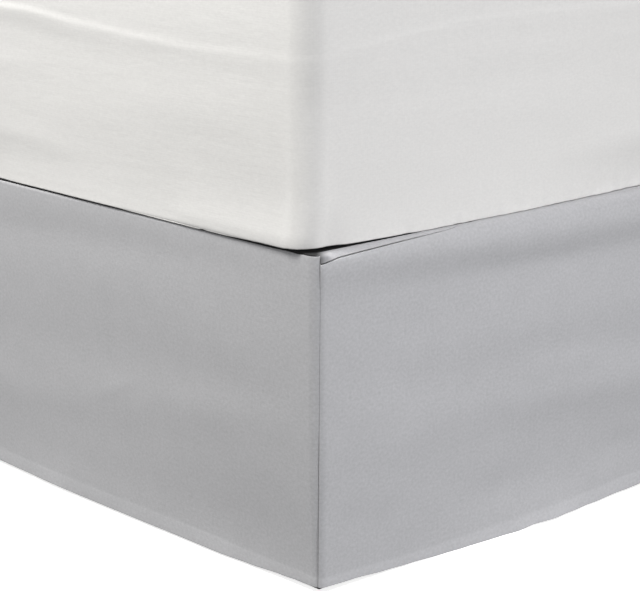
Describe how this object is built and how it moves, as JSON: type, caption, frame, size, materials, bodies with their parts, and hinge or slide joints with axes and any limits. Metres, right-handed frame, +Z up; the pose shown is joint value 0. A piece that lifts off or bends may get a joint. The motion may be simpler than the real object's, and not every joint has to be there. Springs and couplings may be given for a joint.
{
  "type": "bed skirt with bed base and mattress",
  "caption": "Tailored grey bed skirt with a deck under the mattress and flat hemmed drops split at the foot corners, on a plain bed.",
  "frame": {"origin": "centre of the bed's plan at floor level", "axes": "+Z up, +Y toward the head of the bed, +X toward the side whose drop is drop_right"},
  "size_m": [1.5384, 2.0285, 0.7127],
  "materials": {
    "skirt_cloth": "matt plain weave, light grey",
    "mattress_cover": "matt brushed weave, white",
    "base_cloth": "matt plain weave, off white",
    "leg_wood": "satin dark stain"
  },
  "bodies": {
    "root": {"skirt_deck": "skirt_cloth", "drop_foot": "skirt_cloth", "drop_right": "skirt_cloth", "drop_left": "skirt_cloth", "bed_base": "base_cloth", "mattress": "mattress_cover", "leg_1": "leg_wood", "leg_2": "leg_wood", "leg_3": "leg_wood", "leg_4": "leg_wood", "leg_5": "leg_wood", "leg_6": "leg_wood"}
  },
  "joints": []
}
